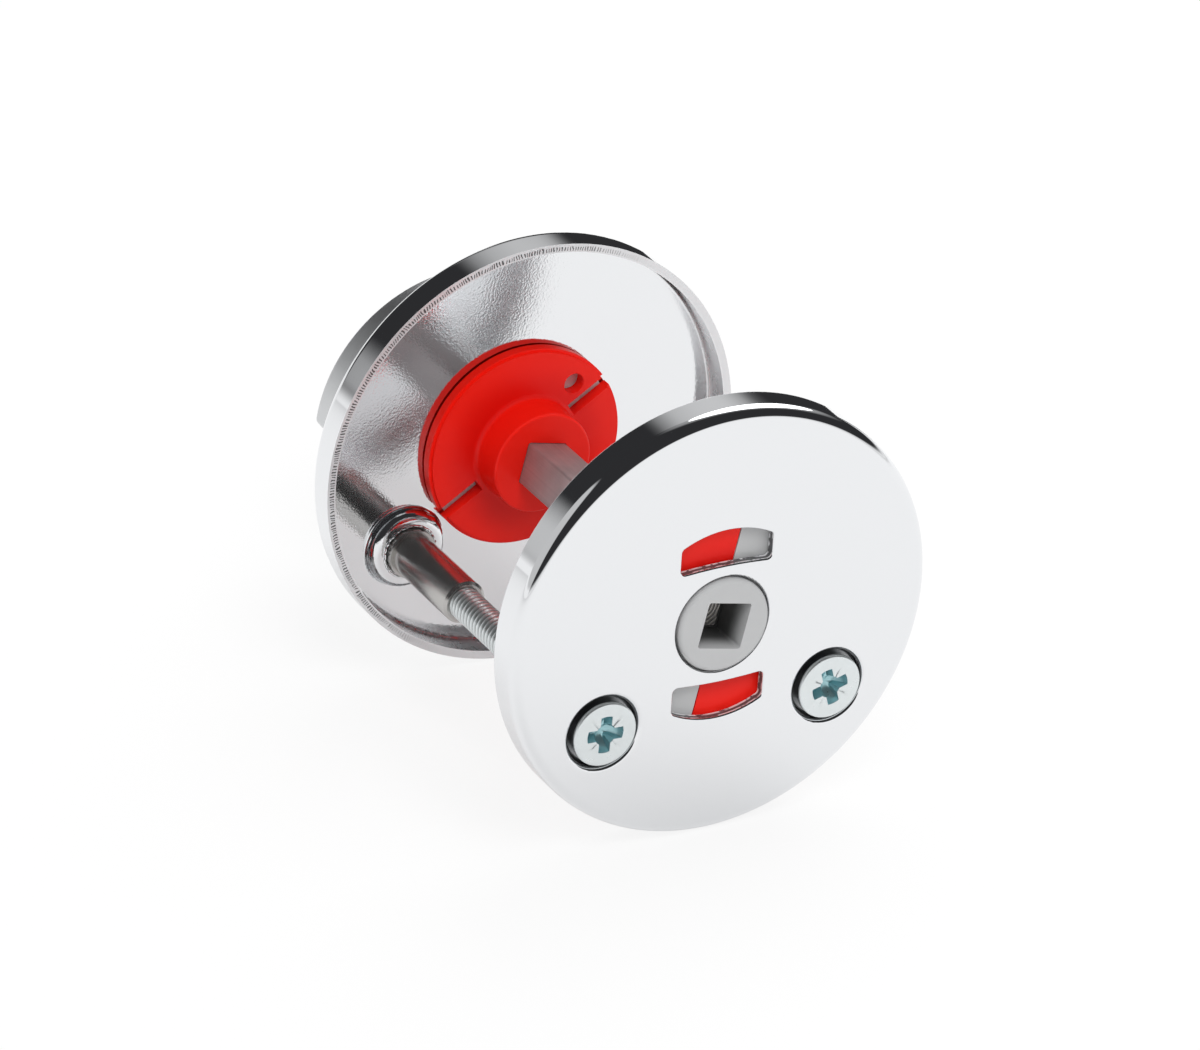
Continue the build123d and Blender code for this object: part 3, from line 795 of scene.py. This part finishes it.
def threaded_screw(side, recess_turn, sizes, material):
    """Countersunk screw as one closed grid of rings from the floor of its cross recess to its tip.

    The columns are the directions of the cross. Rings: recess, flat face and rounded edge, 45 degree
    cone, threaded shank. Poles close the recess floor and the tip.
    """
    node = "fixing_screw_" + side
    low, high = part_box(node)
    face = low[1]
    tip = high[1]
    head = (high[0] - low[0]) / 2
    centre = np.array([(low[0] + high[0]) / 2, 0.0, (low[2] + high[2]) / 2])
    turn, recess, rings = screw_head(face, head, recess_turn, sizes)
    neck = face + sizes.head_rim + head - sizes.shank_radius
    thread_start = neck + sizes.thread_pitch
    rows = int(THREAD_ROWS * (tip - thread_start) / sizes.thread_pitch)
    levels = np.concatenate([[neck], np.linspace(thread_start, tip, rows)])[:, None]
    shank_radius = thread_radius(levels, turn[None, :], thread_start, tip, sizes)
    shank = about_spindle(shank_radius, turn[None, :], levels)
    grid = np.concatenate([np.stack(recess + rings), shank])
    count, columns = grid.shape[:2]
    floor_pole = count * columns
    tip_pole = floor_pole + 1
    middle_depth = 1.15 * sizes.recess_depth
    poles = np.array([[0.0, face + middle_depth, 0.0], [0.0, tip, 0.0]])
    points = np.concatenate([grid.reshape(-1, 3), poles]) + centre
    faces = ring_faces(count, columns).tolist()
    faces += fan_faces(floor_pole, 0, columns)[:, ::-1].tolist()
    faces += fan_faces(tip_pole, floor_pole - columns, columns).tolist()
    piece = add_piece("threaded_screw_" + side, points, faces, material)
    in_recess = np.zeros(len(points))
    in_recess[: len(recess) * columns] = 1.0
    in_recess[floor_pole] = 1.0
    mark(piece, "recess", in_recess)
    # Painted shade in the thread's grooves, as strong as the groove is deep at each point
    thread_shade = np.zeros(len(points))
    sunk = (sizes.shank_radius - shank_radius) / sizes.thread_depth
    thread_shade[floor_pole - sunk.size : floor_pole] = np.clip(sunk, 0, 1).ravel()
    mark(piece, "groove", thread_shade)
    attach(piece, "rosettes")
    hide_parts(node)


def torn_collar(name, node, hole, boss_end, outwards, sizes, material, seed):
    """Torn edge that punching left round a drawn hole.

    The section is an ellipse carried round the hole. Sums of sines of whole numbers of waves, with
    seeded phases, raise its height and shift its radius, so the edge is ragged but closes on itself.
    """
    low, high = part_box(node)
    centre = np.array([(low[0] + high[0]) / 2, boss_end, (low[2] + high[2]) / 2])
    turn = np.linspace(0, FULL_TURN, COLLAR_STEPS, endpoint=False)[None, :]
    section = np.linspace(0, FULL_TURN, COLLAR_SECTION, endpoint=False)[:, None]
    draw = np.random.default_rng(seed)
    waves = np.array(TORN_WAVES)[:, None]
    phases = draw.uniform(0, FULL_TURN, (2, len(TORN_WAVES), 1))
    ragged, wander = np.sin(waves * turn + phases).sum(axis=1) / (len(TORN_WAVES) / 2)
    height = sizes.burr_height * (1 + TORN_HEIGHT * ragged[None, :])
    reach = sizes.burr_width / 2
    radius = hole + reach * (TORN_MIDDLE + TORN_SHIFT * wander[None, :] + np.cos(section))
    level = outwards * height * np.sin(section)
    points = about_spindle(radius, turn, level).reshape(-1, 3) + centre
    faces = ring_faces(COLLAR_SECTION, COLLAR_STEPS, closed_rows=True)
    if outwards < 0:
        faces = faces[:, ::-1]
    piece = add_piece(name, points, faces.tolist(), material, sharp_angle=60.0)
    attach(piece, "rosettes")


class ThumbturnRosettes(bpy.types.Operator):
    """Chromes both rosettes and adds the torn edges of their drawn holes."""

    bl_idname = "thumbturn.rosettes"
    bl_label = "Chrome the rosettes"

    def execute(self, context):
        sizes = context.scene.thumbturn_sizes
        colours = context.scene.thumbturn_colours
        outer = bright_chrome("outer_chrome", colours, sizes, OUTER_RIM, 1.0)
        inner = bright_chrome("inner_chrome", colours, sizes, INNER_RIM, -1.0)
        paint("outer_rosette", outer)
        paint("inner_rosette", inner)
        outer_end = OUTER_FACE + sizes.boss_depth
        inner_end = INNER_FACE - sizes.boss_depth
        for seed, side in enumerate(SIDES):
            screw = "fixing_screw_" + side
            torn_collar(
                "outer_torn_edge_" + side, screw, sizes.screw_hole, outer_end, 1.0,
                sizes, outer, seed,
            )
            torn_collar(
                "inner_torn_edge_" + side, screw, sizes.sleeve_hole, inner_end, -1.0,
                sizes, inner, seed + len(SIDES),
            )
        return {"FINISHED"}


class ThumbturnIndicator(bpy.types.Operator):
    """Finishes the grey hub and both red mouldings."""

    bl_idname = "thumbturn.indicator"
    bl_label = "Mould the indicator"

    def execute(self, context):
        sizes = context.scene.thumbturn_sizes
        colours = context.scene.thumbturn_colours
        red_tints = (colours.red, colours.red_flow, colours.red_hub_shade)
        grey_tints = (colours.grey, colours.grey_flow, colours.grey_socket_shade)
        red = moulded_plastic("red_plastic", red_tints, painted_hub_shade, colours, sizes)
        grey = moulded_plastic("grey_plastic", grey_tints, painted_socket_shade, colours, sizes)
        paint("indicator_disc", red)
        paint("retaining_disc", red)
        paint("indicator_hub", grey)
        return {"FINISHED"}


class ThumbturnSpindle(bpy.types.Operator):
    """Finishes the drawn square spindle."""

    bl_idname = "thumbturn.spindle"
    bl_label = "Draw the spindle"

    def execute(self, context):
        scene = context.scene
        paint("spindle", drawn_steel(scene.thumbturn_colours, scene.thumbturn_sizes))
        return {"FINISHED"}


class ThumbturnKnob(bpy.types.Operator):
    """Finishes the cast knob."""

    bl_idname = "thumbturn.knob"
    bl_label = "Plate the knob"

    def execute(self, context):
        scene = context.scene
        paint("thumbturn_knob", satin_chrome(scene.thumbturn_colours, scene.thumbturn_sizes))
        return {"FINISHED"}


class ThumbturnScrews(bpy.types.Operator):
    """Makes the two threaded screws with their cross recesses."""

    bl_idname = "thumbturn.screws"
    bl_label = "Thread the screws"

    left_turn: angle("Left turn", "Turn of the left screw's recess", 2.0)
    right_turn: angle("Right turn", "Turn of the right screw's recess", -16.0)

    def execute(self, context):
        sizes = context.scene.thumbturn_sizes
        zinc = zinc_plate(context.scene.thumbturn_colours, sizes)
        for side, turn in zip(SIDES, (self.left_turn, self.right_turn)):
            threaded_screw(side, turn, sizes, zinc)
        return {"FINISHED"}


class ThumbturnSleeves(bpy.types.Operator):
    """Finishes the sleeve nuts that take the screws."""

    bl_idname = "thumbturn.sleeves"
    bl_label = "Plate the sleeve nuts"

    def execute(self, context):
        scene = context.scene
        nickel = nickel_plate(scene.thumbturn_colours, scene.thumbturn_sizes)
        for side in SIDES:
            paint("sleeve_nut_" + side, nickel)
        return {"FINISHED"}


def stage_piece(name, points, faces, material):
    """One piece of the stage from points and faces."""
    mesh = bpy.data.meshes.new(name)
    mesh.from_pydata(points, [], faces)
    mesh.materials.append(material)
    piece = bpy.data.objects.new(name, mesh)
    bpy.context.scene.collection.objects.link(piece)
    return piece


def show_in_mirrors_only(piece):
    """Hides a stage piece from everything but reflections."""
    piece.visible_camera = False
    piece.visible_diffuse = False
    piece.visible_transmission = False
    piece.visible_shadow = False


def seen_directly(nodes):
    """1 for rays from the camera, mirrors and clear pieces, and 0 for the rays that carry light."""
    camera = nodes.node("LightPath", output="Is Camera Ray")
    outputs = camera.socket.node.outputs
    seen = camera + Signal(outputs["Is Glossy Ray"]) + Signal(outputs["Is Transmission Ray"])
    return seen.at_most(1.0)


def white_floor(stage):
    """Pale floor that looks nearly white and still keeps the part's shadow."""
    material, nodes = new_nodes("pale_floor")
    matt = nodes.node("BsdfDiffuse", sockets={"Color": rgba(stage.floor)})
    glow = nodes.node("Emission", sockets={"Color": rgba(WHITE), "Strength": 1.0})
    camera = nodes.node("LightPath", output="Is Camera Ray")
    factor = stage.floor_glow * seen_directly(nodes) + stage.camera_glow * camera
    shader = nodes.node("MixShader", sockets={"Fac": factor, "Shader": matt, "Shader_001": glow})
    nodes.node("OutputMaterial", sockets={"Surface": shader})
    corners = [(-FLOOR_HALF, -FLOOR_HALF, FLOOR_LEVEL), (FLOOR_HALF, -FLOOR_HALF, FLOOR_LEVEL)]
    corners += [(FLOOR_HALF, FLOOR_HALF, FLOOR_LEVEL), (-FLOOR_HALF, FLOOR_HALF, FLOOR_LEVEL)]
    stage_piece("floor", corners, [(0, 1, 2, 3)], material)


def glowing(nodes, shade):
    """Ends a tree in a plain glow of one colour or pattern."""
    nodes.node("OutputMaterial", sockets={"Surface": nodes.node("Emission", sockets={"Color": shade})})


def dark_walls(stage):
    """Dark room, bright along the floor, with glows that grow from their edge to their middle."""
    material, nodes = new_nodes("dark_walls")
    place = nodes.place()
    rise = nodes.towards(place, (0, 0, 1 / stage.dome_radius))
    lit = STRIP_LEVEL * (1 - nodes.step(rise, 0.0, STRIP_TOP))
    for direction, edge, middle, level in GLOWS:
        along = Vector(direction).normalized() / stage.dome_radius
        lit = lit + level * nodes.step(nodes.towards(place, along), edge, middle)
    glowing(nodes, nodes.blend(lit.at_most(1.0), stage.dome, stage.panel))
    return material


def dark_dome(stage):
    """Dark room round the table, seen only in reflections.

    A point at a turn and a rise lies at radius * (cos rise * (sin turn, cos turn), sin rise).
    """
    turn = np.linspace(0, FULL_TURN, DOME_STEPS, endpoint=False)[None, :]
    rise = np.radians(np.linspace(*DOME_RISE, DOME_RINGS))[:, None]
    across = np.cos(rise) * np.sin(turn)
    along = np.cos(rise) * np.cos(turn)
    directions = np.stack(np.broadcast_arrays(across, along, np.sin(rise)), axis=-1)
    points = (stage.dome_radius * directions).reshape(-1, 3).tolist()
    faces = ring_faces(DOME_RINGS, DOME_STEPS).tolist()
    show_in_mirrors_only(stage_piece("dark_dome", points, faces, dark_walls(stage)))


def dark_card(stage):
    """Upright dark card behind the part, square to the line from the part, seen only in reflections."""
    material, nodes = new_nodes("dark_card")
    glowing(nodes, rgba(stage.dome))
    outwards = Vector(CARD_SIDE).normalized()
    across = Vector((outwards.y, -outwards.x, 0.0)) * CARD_HALF_WIDTH
    foot = DOOR_MIDDLE + outwards * CARD_DISTANCE + Vector((0, 0, FLOOR_LEVEL))
    upward = Vector((0, 0, CARD_TOP - FLOOR_LEVEL))
    corners = [foot - across, foot + across, foot + across + upward, foot - across + upward]
    show_in_mirrors_only(stage_piece("dark_card", corners, [(0, 1, 2, 3)], material))


def soft_lamp(name, place, size, power, mirrored):
    """Round lamp that shines at the middle of the part."""
    data = bpy.data.lights.new(name, "AREA")
    data.energy = power
    data.shape = "DISK"
    data.size = size
    lamp = bpy.data.objects.new(name, data)
    lamp.visible_glossy = mirrored
    lamp.location = place
    lamp.rotation_mode = "QUATERNION"
    lamp.rotation_quaternion = (-Vector(place)).to_track_quat("-Z", "Y")
    bpy.context.scene.collection.objects.link(lamp)


def even_world(stage):
    """White surroundings for what is seen, and a weaker even light on the part."""
    world = bpy.data.worlds.new("studio")
    nodes = Nodes(world)
    strength = stage.ambient + (1.0 - stage.ambient) * seen_directly(nodes)
    shader = nodes.node("Background", sockets={"Color": rgba(WHITE), "Strength": strength})
    nodes.node("OutputWorld", sockets={"Surface": shader})
    bpy.context.scene.world = world


def aim_camera(stage):
    """Camera from its turn, height and roll about the middle of the door."""
    data = bpy.data.cameras.new("camera")
    data.lens = stage.focal_length
    data.sensor_width = SENSOR_WIDTH
    back = Vector((
        math.sin(stage.azimuth) * math.cos(stage.elevation),
        -math.cos(stage.azimuth) * math.cos(stage.elevation),
        math.sin(stage.elevation),
    ))
    level_right = Vector((0, 0, 1)).cross(back).normalized()
    level_up = back.cross(level_right)
    right = math.cos(stage.roll) * level_right + math.sin(stage.roll) * level_up
    up = math.cos(stage.roll) * level_up - math.sin(stage.roll) * level_right
    place = DOOR_MIDDLE + back * stage.distance + right * stage.shift_right + up * stage.shift_up
    camera = bpy.data.objects.new("camera", data)
    turned = Matrix((right, up, back)).transposed().to_4x4()
    camera.matrix_world = Matrix.Translation(place) @ turned
    bpy.context.scene.collection.objects.link(camera)
    bpy.context.scene.camera = camera


class ThumbturnStudio(bpy.types.Operator):
    """Sets the floor, the dark room and its card, the lamps, the surroundings and the camera."""

    bl_idname = "thumbturn.studio"
    bl_label = "Set the studio"

    def execute(self, context):
        stage = context.scene.thumbturn_stage
        white_floor(stage)
        dark_dome(stage)
        dark_card(stage)
        soft_lamp("softbox", SOFTBOX_PLACE, SOFTBOX_SIZE, stage.key_power, True)
        soft_lamp("fill_lamp", FILL_PLACE, FILL_SIZE, stage.fill_power, False)
        even_world(stage)
        aim_camera(stage)
        context.scene.view_settings.view_transform = "Standard"
        return {"FINISHED"}


GROUPS = {
    "thumbturn_sizes": ThumbturnSizes,
    "thumbturn_colours": ThumbturnColours,
    "thumbturn_stage": ThumbturnStage,
}

OPERATORS = (
    ThumbturnRosettes,
    ThumbturnIndicator,
    ThumbturnSpindle,
    ThumbturnKnob,
    ThumbturnScrews,
    ThumbturnSleeves,
    ThumbturnStudio,
)


class ThumbturnPanel(bpy.types.Panel):
    """Sidebar panel with the steps, the sizes, the colours and the stage."""

    bl_idname = "VIEW3D_PT_thumbturn"
    bl_label = "Bathroom thumbturn"
    bl_space_type = "VIEW_3D"
    bl_region_type = "UI"
    bl_category = "Thumbturn"

    def draw(self, context):
        for operator in OPERATORS:
            self.layout.operator(operator.bl_idname)
        for group_name, group_class in GROUPS.items():
            box = self.layout.box()
            for name in group_class.__annotations__:
                box.prop(getattr(context.scene, group_name), name)


def register():
    """Registers every class and hangs the property groups on the scene."""
    for group in GROUPS.values():
        bpy.utils.register_class(group)
    for name, group in GROUPS.items():
        setattr(bpy.types.Scene, name, bpy.props.PointerProperty(type=group))
    for item in (*OPERATORS, ThumbturnPanel):
        bpy.utils.register_class(item)


def unregister():
    """Takes the classes and the property groups off again."""
    for item in (ThumbturnPanel, *reversed(OPERATORS)):
        bpy.utils.unregister_class(item)
    for name, group in GROUPS.items():
        delattr(bpy.types.Scene, name)
        bpy.utils.unregister_class(group)


def main():
    """Runs every step in order."""
    register()
    bpy.ops.thumbturn.rosettes()
    bpy.ops.thumbturn.indicator()
    bpy.ops.thumbturn.spindle()
    bpy.ops.thumbturn.knob()
    bpy.ops.thumbturn.screws()
    bpy.ops.thumbturn.sleeves()
    bpy.ops.thumbturn.studio()


if __name__ == "__main__":
    main()
